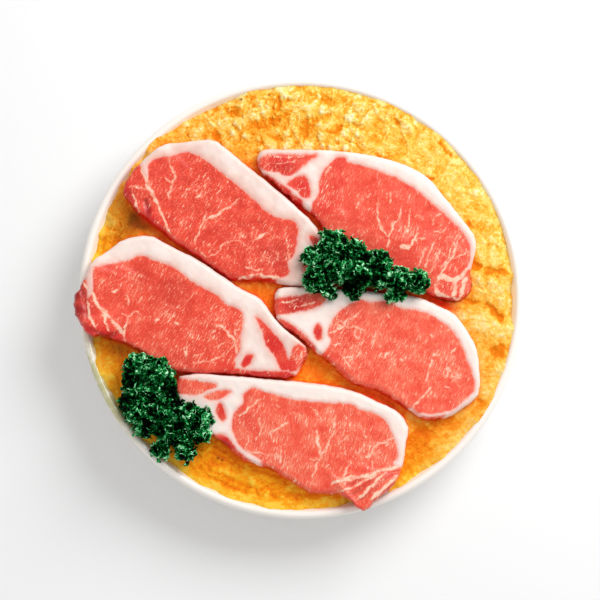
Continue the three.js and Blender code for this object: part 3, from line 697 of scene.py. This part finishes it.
MUSCLES["slice_near"] = {
    "pale": 0.3, "grain": 74,
    "lean": [
        [(-36.9, -69), (-36.4, -63.7), (-31.3, -59.8), (-28.2, -60.6), (-20, -63.2), (-10, -65.7),
         (0, -67.8), (17.6, -69), (30, -69.8), (35.1, -72.9), (43.4, -75), (50, -78.5), (53.5, -84),
         (56, -90), (58, -96), (58.5, -102), (56, -107), (66, -112), (58, -122), (40, -138),
         (26, -132), (4, -128), (-6, -122), (-20, -113), (-25.5, -106), (-26, -103.8),
         (-32.3, -99.7), (-37.4, -97), (-41.6, -90.4), (-43.6, -83.2), (-42, -75)],
        [(-80, -53.8), (-72.4, -54.3), (-54, -57.4), (-59.2, -61.5), (-67.4, -64.1), (-80, -61.5)],
        [(-61.2, -65.2), (-53, -61.6), (-44.8, -61.6), (-47.9, -64.7), (-54, -67.3)],
        [(-53, -70), (-50.6, -69), (-48.5, -73), (-47.6, -78), (-50, -80), (-53, -76)],
        [(-58, -90), (-50, -88.5), (-45, -91.6), (-41, -97), (-35, -102.6), (-27, -108.4),
         (-22, -111), (-26, -118), (-52, -104)],
    ],
    "seams": [
        (0.6, (6.1, -114), (7.8, -109.2), (10.9, -101.5)),
        (0.9, (10.9, -101.5), (9.2, -92.6), (8.8, -85.6)),
        (0.7, (10.9, -101.5), (14.9, -96.5), (16.5, -93)),
        (0.5, (16.5, -93), (18.9, -87.3), (20.2, -77)), (0.3, (3.5, -104), (10, -103)),
        (0.6, (38.6, -102.2), (43.1, -99.6), (43.9, -101.3)),
        (0.5, (21.9, -94.3), (26.4, -90), (28.1, -88.2)),
        (0.4, (24.5, -115.3), (27.2, -109.2), (29.8, -104)), (0.5, (-27.3, -90), (-25.6, -86.5)),
        (0.4, (8, -76.5), (8, -74.5), (5, -72)), (0.6, (-18, -86.5), (-14, -84), (-9, -79.5)),
        (0.45, (-20.3, -90), (-19.8, -86.5), (-15.9, -84.8)),
        (0.5, (-41.5, -76), (-36, -75), (-32.5, -71.5), (-25.5, -66)),
        (0.35, (-34, -86.5), (-33.5, -91), (-35, -98), (-27.5, -99.5), (-20, -100.5)),
        (0.55, (41, -102.5), (43.5, -98), (45.5, -95), (50.5, -93), (59.5, -90)),
        (0.35, (37, -88.5), (40, -91)),
        (1.2, (17.5, -118.8), (23.6, -116.2), (31.5, -114.9), (40.4, -113.5), (45.5, -110.9)),
        (1.0, (44, -111.6), (53.6, -109.2), (59.8, -108.2)),
        (0.6, (22, -123), (28, -121.5), (34, -118.5), (40, -115.5), (44.9, -112.7)),
        (0.8, (33, -128), (37.4, -124.4), (41.8, -120), (46, -115.5), (52, -112)),
        (1.0, (41.2, -128.5), (45.8, -124.4), (51, -120), (58.4, -113)),
        (0.3, (-17, -69.5), (-14, -71.5)), (0.3, (20, -76), (20.5, -78.5)),
        (0.3, (-6, -101.5), (-4.5, -98)), (0.35, (13, -109), (16.5, -106.5)),
        (0.6, (-8, -120.5), (-5.5, -118), (-4.5, -114.5)),
    ],
    "cuts": [
        [(27, -119.4), (32.6, -117.4), (39.3, -115), (44.9, -112)],
        [(29, -125), (31.3, -124), (36.6, -120.5), (42, -116.5), (48, -113)],
        [(30, -130), (38.7, -125.6), (43.5, -121.5), (48, -117), (57.9, -110.5)],
        [(43, -129.5), (49.8, -123.4), (57.2, -117)],
    ],
    "dark": [(-47, -94, 2, 0.5)],
    "vivid": [
        (-50, -75, 5, 0.8), (-48, -92, 4, 1), (-44.5, -95.5, 4, 1), (-76, -58, 5, 0.5),
        (40, -121, 12, 0.3), (-38, -78, 9, 0.4), (-38, -68, 7, 0.35), (-38, -104, 5, 0.5),
    ],
    "lifts": [(21, -121.5, 5, 1.8)],
    "dense": [(44, -96, 14), (24, -88, 14), (-26, -84, 14), (-16, -104, 12), (-68, -58, 14, 0.6)],
}


def within(spots, ring):
    """Which spots lie inside a closed outline, seen from above."""
    x, y = spots[:, :1], spots[:, 1:]
    start, end = ring, np.roll(ring, -1, axis=0)
    spans = (start[:, 1] > y) != (end[:, 1] > y)
    rise = np.where(start[:, 1] == end[:, 1], 1, end[:, 1] - start[:, 1])
    crossing = start[:, 0] + (y - start[:, 1]) * (end[:, 0] - start[:, 0]) / rise
    return np.count_nonzero(spans & (x < crossing), axis=1) % 2 == 1


def distance_to(spots, line, half_width=0):
    """Distance of each spot to a polyline, or to the edge of a band that tapers at its ends."""
    start, way = line[:-1], np.diff(line, axis=0)
    long = np.maximum((way**2).sum(axis=1), 1e-9)
    nearest = np.full(len(spots), np.inf)
    for k, ((sx, sy), (wx, wy)) in enumerate(zip(start, way)):
        dx, dy = spots[:, 0] - sx, spots[:, 1] - sy
        t = np.clip((dx * wx + dy * wy) / long[k], 0, 1)
        taper = 1 - 0.75 * (2 * (k + t) / len(way) - 1) ** 4
        reach = np.hypot(dx - t * wx, dy - t * wy) - half_width * taper
        nearest = np.minimum(nearest, reach)
    return nearest


def remeshed(rough, width, rounds):
    """A closed mesh laid out again in even cells of the given width, and eased some rounds."""
    holder = placed(rough.name, rough)
    remesh = holder.modifiers.new("even", "REMESH")
    remesh.mode = "VOXEL"
    remesh.voxel_size = width * MM
    holder.modifiers.new("eased", "SMOOTH").iterations = rounds
    drawn = holder.evaluated_get(bpy.context.evaluated_depsgraph_get())
    made = bpy.data.meshes.new_from_object(drawn)
    bpy.data.objects.remove(holder)
    bpy.data.meshes.remove(rough)
    return made


def slice_mesh(name, marks):
    """A slice's mesh in millimetre detail, with its muscle, seams and grain on its vertices."""
    bm = bmesh.new()
    bm.from_mesh(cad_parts[name].data)
    bmesh.ops.remove_doubles(bm, verts=bm.verts, dist=MERGE)
    mesh = remeshed(mesh_of(name + "_rough", bm), VOXEL, EASING)
    spots = np.empty(3 * len(mesh.vertices))
    mesh.vertices.foreach_get("co", spots)
    spots = spots.reshape(-1, 3) / MM
    facing = np.array([n.vector[:] for n in mesh.vertex_normals])
    flat = spots[:, :2].copy()
    wander = np.array([noise.noise_vector(Vector(s) / WANDER)[:2] for s in spots])

    def near(x, y, size):
        """How near each vertex is to a round mark's middle, from 0 to 1."""
        return np.exp(-(((flat[:, 0] - x) ** 2 + (flat[:, 1] - y) ** 2) / size**2))

    lean = np.full(len(flat), -FAR_OFF)
    wandered = flat + OUTLINE_WANDER * wander
    for outline in marks["lean"]:
        ring = smooth_line(outline, 4, closed=True)
        reach = distance_to(wandered, np.vstack([ring, ring[:1]]))
        lean = np.maximum(lean, np.where(within(wandered, ring), reach, -reach))
    seam = np.full(len(flat), FAR_OFF)
    wandered = flat + SEAM_WANDER * wander
    for half_width, *line in marks["seams"]:
        seam = np.minimum(seam, distance_to(wandered, smooth_line(line, 4), half_width))
    cut = np.full(len(flat), FAR_OFF)
    for line in marks.get("cuts", ()):
        cut = np.minimum(cut, distance_to(flat + wander, smooth_line(line, 4), 0.5))
    unpaleness = np.clip(0.75 - marks["pale"], 0.1, 1)
    cut = unpaleness * np.exp(-np.clip(cut, 0, 9) ** 2)
    # Cuts are painted dark as the shade in their grooves.
    blobs = {"dark": 0.7 * cut, "vivid": 0 * cut, "dense": 0 * cut}
    for kind in blobs:
        for x, y, size, *strength in marks[kind]:
            blobs[kind] = np.maximum(blobs[kind], near(x, y, size) * (strength or [1])[0])

    swell = np.array([noise.noise(Vector(s) / SWELL_WIDTH) for s in spots])
    ripple = np.array([noise.noise(Vector(s) / RIPPLE_WIDTH) for s in spots])
    ridge = np.array([noise.noise(Vector(s / RIDGE_SIZE)) for s in spots])
    side = 1 - np.clip(np.abs(facing[:, 2]), 0, 1)
    fleshy = np.clip((lean + 2) / 3, 0.25, 1)
    raised = SWELL_HEIGHT * swell + RIPPLE_HEIGHT * ripple
    raised += side * (0.35 + fleshy * (RIDGE_HEIGHT * ridge + 0.35 * ripple))
    raised += CAP_RISE * (1 - np.clip((lean + 1.2) / 2.4, 0, 1))
    raised -= CAP_GROOVE * np.exp(-((lean + 0.2) ** 2) / 0.5)
    raised += SEAM_RISE * np.exp(-np.clip(seam, 0, 9) ** 2 / 0.4) - CUT_DEPTH * cut
    spots += facing * raised[:, None]
    for x, y, size, lift in marks.get("lifts", ()):
        spots[:, 2] += lift * near(x, y, size) * np.clip(facing[:, 2], 0, 1)
    mesh.vertices.foreach_set("co", (spots * MM).ravel())

    turn = math.radians(marks["grain"])
    along = np.c_[
        flat @ (math.cos(turn), math.sin(turn)), flat @ (-math.sin(turn), math.cos(turn)),
        spots[:, 2],
    ]
    mesh.attributes.new("grain", "FLOAT_VECTOR", "POINT").data.foreach_set("vector", along.ravel())
    pale = np.full(len(flat), marks["pale"], float)
    lists = {"lean": lean, "seam": seam, "side": side, "pale": pale, **blobs}
    for label, values in lists.items():
        mesh.attributes.new(label, "FLOAT", "POINT").data.foreach_set("value", values)
    return mesh


# Raw pork loin: moist pink-red lean, darker in the side muscles, painted deeper red on its side
# walls and darker in its cuts and beside the parsley as painted shade, with cream marbling that
# runs one way, and firm white fat that blushes pink beside the lean.
LEAN_TONES = [(0.15, "#D02A1A"), (0.4, "#EA442C"), (0.6, "#F4583E"), (0.85, "#FC8C6C")]
VIVID_LEAN_AND_SIDE_SHADE = "#D8100E"
# Also painted as shade on folded ends, in cuts and beside the parsley.
DARK_LEAN_AND_SHADE = "#A0060E"
MARBLING = [(0.0, "#F36C50"), (0.5, "#F99678"), (1.0, "#FCCCB2")]
FAT_TONES = [(0.1, "#E4B6A8"), (0.3, "#EBC9BD"), (0.5, "#F3DCD3"), (0.7, "#F8E8E0")]
BLUSH = "#F3B5A6"
GRAIN_STRETCH = (0.24, 1, 0.2)  # what runs with the grain is drawn out along it
# The pork's patterns: how many to the millimetre, detail, roughness, distortion, whether they
# run with the grain
PATTERNS = [
    (1.1, 4, 0.75, 0, False),  # ragged edges
    (0.28, 1, 0.5, 0, False),  # where seams fade
    (0.12, 2, 0.5, 0, False),  # paler patches
    (1.05, 3, 0.6, 0.7, True),  # streaks of marbling
    (1.4, 1, 0.6, 0, False),  # flecks of it
    (1.3, 5, 0.8, 0, True),  # fibres
]
pork, tree, shader = material(
    "raw_pork_loin", IOR=1.42, Subsurface_Weight=0.2, Subsurface_Radius=(1.0, 0.3, 0.2),
    Subsurface_Scale=2.5 * MM, Coat_Weight=0.15, Coat_Roughness=0.22,
)
own = {
    label: add(tree, "Attribute", {}, out="Fac", attribute_name=label)
    for label in ("lean", "seam", "side", "pale", "dark", "vivid", "dense")
}
along = add(tree, "Attribute", {}, out="Vector", attribute_name="grain")
stretched = add(tree, "Mapping", {"Vector": along, "Scale": GRAIN_STRETCH})
noises = []
for scale, detail, roughness, distortion, with_grain in PATTERNS:
    pattern = {"Scale": scale, "Detail": detail, "Roughness": roughness, "Distortion": distortion}
    pattern["Vector"] = stretched if with_grain else along
    noises.append(add(tree, "TexNoise", pattern))
ragged, fading, patches, streaks, flecks, fibres = noises

# Lean and seams, with ragged edges where the marbling is dense
uneven = add(tree, "Math", [ragged, -0.5], "ADD")
fringe = add(tree, "Math", [own["dense"], 3.5, 1.8], "MULTIPLY_ADD")
lean = add(tree, "Math", [uneven, fringe, own["lean"]], "MULTIPLY_ADD")
in_lean = add(tree, "MapRange", [lean, -0.9, 0.8], interpolation_type="SMOOTHSTEP")
fading = add(tree, "MapRange", [fading, 0.35, 0.6, 0.65, 1.15])
in_seam = add(tree, "Math", [uneven, 3, own["seam"]], "MULTIPLY_ADD")
in_seam = add(tree, "MapRange", [in_seam, 0.6, -0.4])
in_seam = add(tree, "Math", [in_seam, fading], "MULTIPLY")

# Marbling: streaks with the grain and flecks between them, more often in the dense places
often = add(tree, "Math", [patches, 0.24, -0.105], "MULTIPLY_ADD")
often = add(tree, "Math", [own["dense"], 0.07, often], "MULTIPLY_ADD")
streaks = add(tree, "Math", [streaks, often], "ADD")
streaks = add(tree, "MapRange", [streaks, 0.58, 0.74])
flecks = add(tree, "Math", [often, 0.7, flecks], "MULTIPLY_ADD")
flecks = add(tree, "MapRange", [flecks, 0.6, 0.86])
marbled = add(tree, "Math", [streaks, flecks], "MAXIMUM")
marbled = add(tree, "Math", [marbled, in_seam], "MAXIMUM")

# Lean: fibres of uneven red, overlaid with the vivid places, the side walls painted deeper red as
# painted shade, the dark places and the marbled places
fibres = add(tree, "Math", [fibres, 1.2, -0.4], "MULTIPLY_ADD")
for value, part in ((patches, 0.6), (own["pale"], 0.4)):
    fibres = add(tree, "Math", [value, part, fibres], "MULTIPLY_ADD")
# Side walls painted deeper red, less on pale slices: painted shade.
deep = add(tree, "MapRange", [own["side"], 0.35, 0.8])
unpaleness = add(tree, "Math", [own["pale"], -1.6, 0.9], "MULTIPLY_ADD")
deep = add(tree, "Math", [deep, unpaleness], "MULTIPLY")
deep = add(tree, "Math", [deep, own["vivid"]], "MAXIMUM")
vein = add(tree, "ValToRGB", [marbled], stops=MARBLING)
deepest = add(tree, "Math", [deep, own["dark"]], "MAXIMUM")
marbled = add(tree, "Math", [deepest, -0.35, marbled], "MULTIPLY_ADD")
marbled = add(tree, "Math", [marbled, 1.4], "MULTIPLY", use_clamp=True)
red = add(tree, "ValToRGB", [fibres], stops=LEAN_TONES)
overlays = ((deep, linear(VIVID_LEAN_AND_SIDE_SHADE)), (own["dark"], linear(DARK_LEAN_AND_SHADE)), (marbled, vein))
for share, overlay in overlays:
    red = add(tree, "Mix", [share, red, overlay], data_type="RGBA")

# Fat: whiter towards the slice's edge, and blushing beside the lean
fat = add(tree, "Math", [patches, 0.5, 0.16], "MULTIPLY_ADD")
outer = add(tree, "MapRange", [own["lean"], -1.5, -7])
for value, part in ((outer, 0.3), (own["pale"], 0.6)):
    fat = add(tree, "Math", [value, part, fat], "MULTIPLY_ADD")
fat = add(tree, "ValToRGB", [fat], stops=FAT_TONES)
beside = add(tree, "MapRange", [lean, -2.6, 0.4])
blush = add(tree, "Math", [own["dense"], 0.5], "MULTIPLY")
blush = add(tree, "Math", [beside, blush], "MAXIMUM")
fat = add(tree, "Mix", [blush, fat, linear(BLUSH)], data_type="RGBA")
colour = add(tree, "Mix", [in_lean, fat, red], data_type="RGBA")
gloss = add(tree, "Mix", [in_lean, 0.42, 0.36])
bump = add(tree, "Bump", {"Height": fibres, "Strength": 0.35, "Distance": 0.25 * MM})
fill(shader, {"Base Color": colour, "Roughness": gloss, "Normal": bump})
for name, marks in MUSCLES.items():
    piece(name.replace("slice", "pork"), slice_mesh(name, marks), pork, name)

# The parsley: sprigs of curly parsley, each a tuft of crisp thin leaflets with ruffled margins.
# The leaflets stand close together round a tight curled heart, with dark gaps between them.
import random
from mathutils import Matrix

LEAFLET = 3.4  # from a leaflet's stalk to its margin
LEAFLET_SECTORS = 12
LEAFLET_WAVES = 3
LEAFLET_RINGS = 2
LEAFLET_SWEEP = 1.75 * math.pi  # how far round the stalk its fan goes
LEAF_THICKNESS = 0.22
LEAFLET_PATTERNS = 8
LEAFLET_AREA = 30  # of a tuft's surface, for each of its leaflets
LEAFLET_STEP = 2.4  # radians round a tuft from one leaflet to the next
HEART_VOXEL = 0.38  # width of a cell of the remeshed heart
HEART_DEPTH = 2.2  # how far the heart lies inside the tufts' outline
# Widths and heights of the heart's tufts, curls and frills
TUFT_WIDTH, TUFT_HEIGHT = 7.5, 1.9
CURL_WIDTH, CURL_HEIGHT = 2.3, 1.3
FRILL_WIDTH, FRILL_HEIGHT = 1.2, 0.7
LOBE_RISE = 0.35  # a lobe's middle stands this part of its radius over the base
LOBE_UNDERSIDE = 0.45  # how deep it is below, for a height of 1
CORE_SQUASH = 0.7  # the height of the cores in the hollows, for a width of 1
CORE_MARGIN = 2  # how much larger they are than the hollows
# Each bunch: the seed of its draws, the height of its base, and its lobes and hollows as x, y
# and radius
BUNCHES = {
    "parsley_middle": {
        "seed": 5,
        "base": 43,
        "lobes": [
            (19, 30, 11), (6, 22, 8), (9, 8, 10), (22, 16, 12), (32, 26, 9), (35, 11, 12),
            (48, 19, 9), (48, 8, 8), (60, 8, 10), (71, 7, 9), (17, 0, 6), (32, 0, 6), (56, -2, 6),
        ],
        "hollows": [(32, 4, 5), (46, 13, 5), (14, 12, 3), (24, 21, 3), (39, 20, 4), (60, 0, 3)],
    },
    "parsley_left": {
        "seed": 9,
        "base": 39,
        "lobes": [
            (-103, -46, 9), (-91, -49, 10), (-84, -54, 7), (-103, -60, 9), (-92, -62, 9),
            (-102, -73, 11), (-88, -74, 11), (-97, -83, 9), (-84, -86, 9), (-71, -77, 10),
            (-61, -79, 8), (-64, -88, 8), (-75, -92, 9), (-88, -98, 7), (-72, -99, 8),
            (-82, -62, 6),
        ],
        "hollows": [
            (-106, -54, 5), (-108, -68, 4), (-84, -61, 6), (-94, -81, 5), (-76, -84, 4),
            (-78, -70, 5),
        ],
    },
}


def hollow(x, y, hollows):
    """How deep a place lies in the hollows between tufts, from 0 to 1."""
    return max(math.exp(-((x - u) ** 2 + (y - v) ** 2) / r**2) for u, v, r in hollows)


def heart_mesh(name, base, lobes, hollows):
    """The curled heart of a bunch: balls joined in one skin, swollen into small tight curls."""
    balls = [
        (x, y, base + LOBE_RISE * r, r - HEART_DEPTH, 4, 1, LOBE_UNDERSIDE) for x, y, r in lobes
    ]
    balls += [(x, y, base, r + CORE_MARGIN, 3, CORE_SQUASH, CORE_SQUASH) for x, y, r in hollows]
    bm = bmesh.new()
    for x, y, z, radius, detail, above, below in balls:
        for v in bmesh.ops.create_icosphere(bm, subdivisions=detail, radius=radius)["verts"]:
            flatter = above if v.co.z > 0 else below
            v.co = Vector((x + v.co.x, y + v.co.y, z + flatter * v.co.z)) * MM
    mesh = remeshed(mesh_of(name + "_heart", bm), HEART_VOXEL, 2)
    crests = []
    for v, n in zip(mesh.vertices, mesh.vertex_normals):
        sunk = hollow(v.co.x / MM, v.co.y / MM, hollows)
        spot = v.co / MM
        spot += noise.noise_vector(spot / 3) * 1.2
        near = noise.voronoi(spot / TUFT_WIDTH)[0]
        tuft = ramp(0, 0.45, near[1] - near[0])
        curl, frill = (min(1, 2.2 * abs(noise.noise(spot / w))) for w in (CURL_WIDTH, FRILL_WIDTH))
        raised = TUFT_HEIGHT * tuft + CURL_HEIGHT * curl + FRILL_HEIGHT * frill - 1.8 - sunk
        v.co += n.vector * raised * MM
        # Curl and frill tops are painted lighter as painted light, and the hollows darker as
        # painted shade.
        crests.append((0.15 + 0.35 * curl + 0.4 * frill) * (0.4 + 0.7 * tuft) * (1 - 0.7 * sunk))
    mesh.attributes.new("margin", "FLOAT", "POINT").data.foreach_set("value", crests)
    return mesh


def leaflet_mesh(draw):
    """One leaflet of unit length: a thin fan drawn up into a cup, with a ruffled margin."""
    bm = bmesh.new()
    bmesh.ops.create_grid(bm, x_segments=LEAFLET_SECTORS, y_segments=LEAFLET_RINGS, size=0.5)
    margin = bm.verts.layers.float.new("margin")
    for v in bm.verts:
        across = v.co.x + 0.5
        turn = LEAFLET_SWEEP * across
        out = 0.15 + 0.85 * (v.co.y + 0.5)
        edge = out**2
        ruffle = math.cos(2 * math.pi * LEAFLET_WAVES * across) * draw.uniform(0.7, 1)
        reach = out * (1 + 0.1 * edge * draw.uniform(-1, 1) - 0.12 * edge * ruffle)
        rise = 0.3 * out**2 + 0.32 * edge * ruffle
        v.co = (reach * math.cos(turn), reach * math.sin(turn), rise)
        # Lighter towards the margin and on the raised ruffles: painted light and highlight.
        v[margin] = 0.3 + edge * (0.35 + 0.25 * ruffle)
    bm.normal_update()
    bmesh.ops.solidify(bm, geom=bm.faces[:], thickness=-LEAF_THICKNESS / LEAFLET)
    return mesh_of("leaflet", bm)


def parsley_mesh(name, seed, base, lobes, hollows):
    """A bunch: its heart, and leaflets set all over its tufts, facing outwards at uneven tilts."""
    draw = random.Random(seed)
    patterns = [leaflet_mesh(draw) for _ in range(LEAFLET_PATTERNS)]
    heart = heart_mesh(name, base, lobes, hollows)
    bm = bmesh.new()
    bm.from_mesh(heart)
    margin = bm.verts.layers.float["margin"]
    for x, y, radius in lobes:
        middle = Vector((x, y, base + LOBE_RISE * radius))
        others = [Vector((u, v, base + LOBE_RISE * r, r)) for u, v, r in lobes if (u, v) != (x, y)]
        count = round(2.2 * math.pi * radius**2 / LEAFLET_AREA)
        for k in range(count):
            height = 1 - 1.1 * (k + 0.5) / count
            turn = k * LEAFLET_STEP + draw.uniform(0, 0.8)
            level = math.sqrt(1 - height**2)
            way = Vector((level * math.cos(turn), level * math.sin(turn), height))
            side = Vector((-math.sin(turn), math.cos(turn), 0)) * draw.choice((-1, 1))
            facing = way.lerp(side, draw.uniform(0.05, 0.6)).normalized()
            size = LEAFLET * draw.uniform(0.6, 1.1)
            spot = middle + way * (radius - draw.uniform(1.4, 3))
            spin = draw.uniform(0, 2 * math.pi)
            pattern = draw.choice(patterns)
            sunk = hollow(spot.x, spot.y, hollows)
            inside = any((spot - other.to_3d()).length < other.w - 4 for other in others)
            if inside or sunk > 0.6:
                continue
            pose = (
                Matrix.Translation(spot * MM)
                @ facing.to_track_quat("Z", "Y").to_matrix().to_4x4()
                @ Matrix.Rotation(spin, 4, "Z")
                @ Matrix.Scale(size * MM, 4)
            )
            first = len(bm.verts)
            bm.from_mesh(pattern)
            bm.verts.ensure_lookup_table()
            bmesh.ops.transform(bm, matrix=pose, verts=bm.verts[first:])
            for v in bm.verts[first:]:
                # Painted shade in the hollows.
                v[margin] -= 0.5 * sunk
    for made in patterns + [heart]:
        bpy.data.meshes.remove(made)
    return mesh_of(name, bm)


# Curly parsley leaf: deep green with a waxy sheen on its curls. Its colour is painted lighter along
# the thin margins and on the crests, as painted light coming through and painted highlights, and
# near-black in the hollows as painted shade.
# The palest stop is a painted highlight and the darkest is painted shade.
LEAF_TONES = [
    (0.2, "#000600"), (0.43, "#003610"), (0.64, "#028034"), (0.82, "#44C672"), (0.97, "#C2FFCE"),
]
# Patterns of its green: width, detail and their part in the tone
LEAF_PATTERNS = [(5, 2, 1.9), (1, 1, 1)]
parsley, tree, shader = material(
    "curly_parsley_leaf", Roughness=0.34, IOR=1.45, Subsurface_Weight=0.1,
    Subsurface_Radius=(0.3, 1.0, 0.3), Subsurface_Scale=0.6 * MM,
)
spot = add(tree, "TexCoord", {}, out="Object")
tones = add(tree, "Attribute", {}, out="Fac", attribute_name="margin")
tones = add(tree, "Math", [tones, -1.46], "ADD")
for width, detail, part in LEAF_PATTERNS:
    pattern = {"Vector": spot, "Scale": 1 / (width * MM), "Detail": detail}
    tones = add(tree, "Math", [add(tree, "TexNoise", pattern), part, tones], "MULTIPLY_ADD")
green = add(tree, "ValToRGB", [tones], stops=LEAF_TONES)
waxy = add(tree, "MapRange", [tones, 0.6, 0.95, 0.03, 0.9])
fill(shader, {"Base Color": green, "Specular IOR Level": waxy})
for name, bunch in BUNCHES.items():
    piece(name.replace("parsley", "sprigs"), parsley_mesh(name, **bunch), parsley, name)

# The view: a pale floor, a large soft light at the upper right, a fill opposite, and the
# camera where the photograph was taken from, almost straight above and a little to the left.
CAMERA_TURN = -15.07  # degrees round from the near side
CAMERA_RISE = 82.31  # degrees above the horizon
CAMERA_AIM = Vector((-1.5, -3.7, 36.0)) * MM
CAMERA_DISTANCE = 892 * MM
LENS = 85
# Lamps: place, width in metres, power in watts
LIGHTS = {
    "key": ((600, 640, 780), 0.8, 11),
    "fill": ((-700, -500, 800), 0.9, 1),
}
TABLE_REACH = 6  # metres
TABLE_WHITE = "#F6F6F6"
SKY_WHITE = "#FFFFFF"
SKY_STRENGTH = 0.58

turn, rise = math.radians(CAMERA_TURN), math.radians(CAMERA_RISE)
back = Vector((math.sin(turn) * math.cos(rise), -math.cos(turn) * math.cos(rise), math.sin(rise)))
upward = Vector((0, 1, 0)) - back * back.y
upward.normalize()
camera = placed("camera", bpy.data.cameras.new("camera"))
facing = Matrix((upward.cross(back), upward, back)).transposed().to_4x4()
camera.matrix_world = Matrix.Translation(CAMERA_AIM + back * CAMERA_DISTANCE) @ facing
camera.data.lens = LENS
camera.data.clip_start = 10 * MM
bpy.context.scene.camera = camera

for name, (place, size, power) in LIGHTS.items():
    lamp = bpy.data.lights.new(name, "AREA")
    lamp.shape = "DISK"
    lamp.size = size
    lamp.energy = power
    stand = placed(name, lamp)
    stand.location = Vector(place) * MM
    stand.rotation_euler = stand.location.to_track_quat("Z", "Y").to_euler()

bm = bmesh.new()
bmesh.ops.create_grid(bm, x_segments=1, y_segments=1, size=TABLE_REACH)
floor = placed("floor", mesh_of("floor", bm))
paper, tree, shader = material("white_paper", Roughness=0.9, Base_Color=linear(TABLE_WHITE))
floor.data.materials.append(paper)
floor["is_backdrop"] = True

world = bpy.data.worlds.new("studio")
world.use_nodes = True
world.node_tree.nodes["Background"].inputs["Color"].default_value = linear(SKY_WHITE)
world.node_tree.nodes["Background"].inputs["Strength"].default_value = SKY_STRENGTH
bpy.context.scene.world = world
bpy.context.scene.view_settings.view_transform = "Standard"

[[list(corner) for corner in box] for box in (cad_box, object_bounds())]
